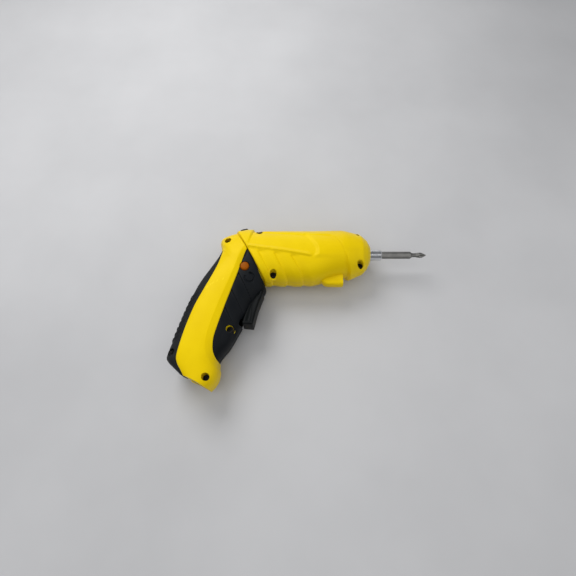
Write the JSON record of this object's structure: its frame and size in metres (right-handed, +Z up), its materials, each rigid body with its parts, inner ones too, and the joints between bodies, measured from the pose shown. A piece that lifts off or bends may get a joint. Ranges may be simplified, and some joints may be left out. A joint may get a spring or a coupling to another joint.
{
  "type": "toy power drill",
  "caption": "Small battery screwdriver-drill with a slanted twisting barrel, pistol grip with a soft back, trigger, work lamp and hex bit holder with a cross-head bit.",
  "frame": {"origin": "centre of the bit holder's mouth on the spindle axis", "axes": "+X forward along the bit, +Y to the tool's left, +Z up with the handle hanging down (pistol position)"},
  "size_m": [0.2434, 0.0452, 0.1603],
  "materials": {
    "yellow_shell": "satin moulded ABS",
    "black_panel": "fine-textured moulding",
    "grip_rubber": "soft overmould",
    "trigger_plastic": "satin",
    "button_orange": "satin",
    "holder_chrome": "bright plated",
    "bit_steel": "dark hardened steel",
    "screw_black": "blackened",
    "gear_steel": "sintered",
    "pin_steel": "ground",
    "case_nylon": "glass-filled nylon",
    "bush_bronze": "sintered bronze",
    "motor_steel": "zinc-plated",
    "end_cap_plastic": "moulded",
    "ferrite": "dull ferrite",
    "copper": "varnished windings",
    "magnet_nickel": "nickel plated",
    "cell_wrap": "shrink sleeve",
    "board_green": "solder mask",
    "lens_clear": "clear",
    "led_white": "clear epoxy",
    "wire_red": "insulation"
  },
  "bodies": {
    "handle": {"handle_shell_right": "yellow_shell", "handle_shell_left": "yellow_shell", "front_panel_right": "black_panel", "front_panel_left": "black_panel", "rear_grip_right": "grip_rubber", "rear_grip_left": "grip_rubber", "swivel_hub": "case_nylon", "battery_cell": "cell_wrap", "battery_contacts": "motor_steel", "control_board": "board_green", "charging_jack": "end_cap_plastic", "trigger_switch": "end_cap_plastic", "trigger_pin": "pin_steel", "trigger_spring": "pin_steel", "handle_screws": "screw_black", "handle_wires": "wire_red"},
    "barrel": {"body_shell_right": "yellow_shell", "body_shell_left": "yellow_shell", "swivel_ring": "case_nylon", "motor_can": "motor_steel", "field_magnets": "ferrite", "motor_end_cap": "end_cap_plastic", "gear_case": "case_nylon", "gear_case_cover": "case_nylon", "spindle_bush": "bush_bronze", "lamp_led": "led_white", "lamp_lens": "lens_clear", "lock_spring": "pin_steel", "body_screws": "screw_black", "barrel_wires": "wire_red"},
    "lock": {"lock_button": "trigger_plastic"},
    "trigger": {"trigger": "trigger_plastic"},
    "reverse": {"reverse_button": "button_orange"},
    "spindle": {"bit_holder": "holder_chrome", "holder_magnet": "magnet_nickel", "spindle_clip": "pin_steel", "output_carrier": "gear_steel", "planet_pins_two": "pin_steel"},
    "bit": {"driver_bit": "bit_steel"},
    "stage_carrier": {"stage_carrier": "gear_steel", "planet_pins_one": "pin_steel"},
    "rotor": {"armature": "copper", "motor_shaft": "pin_steel", "motor_pinion": "gear_steel"},
    "planet_one_a": {"planet_one_a": "gear_steel"},
    "planet_one_b": {"planet_one_b": "gear_steel"},
    "planet_one_c": {"planet_one_c": "gear_steel"},
    "planet_two_a": {"planet_two_a": "gear_steel"},
    "planet_two_b": {"planet_two_b": "gear_steel"},
    "planet_two_c": {"planet_two_c": "gear_steel"}
  },
  "joints": [
    {"name": "swivel_turn", "type": "hinge", "parent": "handle", "child": "barrel", "pos_m": [-0.12975, 0, -0.00665], "axis": [0.8788, 0, 0.4772], "range_deg": [0, 180]},
    {"name": "lock_press", "type": "slide", "parent": "barrel", "child": "lock", "axis": [0, 0, -1], "range_m": [0, 0.002], "stiffness_N_per_m": 800, "deforming": ["lock_spring"]},
    {"name": "trigger_pull", "type": "hinge", "parent": "handle", "child": "trigger", "pos_m": [-0.125, 0, -0.0405], "axis": [0, 1, 0], "range_deg": [0, 8], "stiffness_Nm_per_rad": 0.5, "deforming": ["trigger_spring"]},
    {"name": "reverse_slide", "type": "slide", "parent": "handle", "child": "reverse", "axis": [0, 1, 0], "range_m": [-0.0025, 0.0025]},
    {"name": "spindle_spin", "type": "hinge", "parent": "barrel", "child": "spindle", "pos_m": [0, 0, 0], "axis": [1, 0, 0], "continuous": true},
    {"name": "bit_pull", "type": "slide", "parent": "spindle", "child": "bit", "axis": [1, 0, 0], "range_m": [0, 0.016]},
    {"name": "stage_carrier_spin", "type": "hinge", "parent": "barrel", "child": "stage_carrier", "pos_m": [-0.044, 0, 0], "axis": [1, 0, 0], "continuous": true},
    {"name": "rotor_spin", "type": "hinge", "parent": "barrel", "child": "rotor", "pos_m": [-0.075, 0, 0], "axis": [1, 0, 0], "continuous": true},
    {"name": "planet_two_a_spin", "type": "hinge", "parent": "spindle", "child": "planet_two_a", "pos_m": [-0.0384, 0, -0.0084], "axis": [1, 0, 0], "continuous": true},
    {"name": "planet_two_b_spin", "type": "hinge", "parent": "spindle", "child": "planet_two_b", "pos_m": [-0.0384, 0.00727, 0.0042], "axis": [1, 0, 0], "continuous": true},
    {"name": "planet_two_c_spin", "type": "hinge", "parent": "spindle", "child": "planet_two_c", "pos_m": [-0.0384, -0.00727, 0.0042], "axis": [1, 0, 0], "continuous": true},
    {"name": "planet_one_a_spin", "type": "hinge", "parent": "stage_carrier", "child": "planet_one_a", "pos_m": [-0.0492, 0, -0.0084], "axis": [1, 0, 0], "continuous": true},
    {"name": "planet_one_b_spin", "type": "hinge", "parent": "stage_carrier", "child": "planet_one_b", "pos_m": [-0.0492, 0.00727, 0.0042], "axis": [1, 0, 0], "continuous": true},
    {"name": "planet_one_c_spin", "type": "hinge", "parent": "stage_carrier", "child": "planet_one_c", "pos_m": [-0.0492, -0.00727, 0.0042], "axis": [1, 0, 0], "continuous": true}
  ],
  "couplings": [
    {"joint": "stage_carrier_spin", "follows": "rotor_spin", "ratio": 0.21429},
    {"joint": "spindle_spin", "follows": "rotor_spin", "ratio": 0.045918},
    {"joint": "planet_two_a_spin", "follows": "rotor_spin", "ratio": -0.12628},
    {"joint": "planet_two_b_spin", "follows": "rotor_spin", "ratio": -0.12628},
    {"joint": "planet_two_c_spin", "follows": "rotor_spin", "ratio": -0.12628},
    {"joint": "planet_one_a_spin", "follows": "rotor_spin", "ratio": -0.58929},
    {"joint": "planet_one_b_spin", "follows": "rotor_spin", "ratio": -0.58929},
    {"joint": "planet_one_c_spin", "follows": "rotor_spin", "ratio": -0.58929}
  ]
}
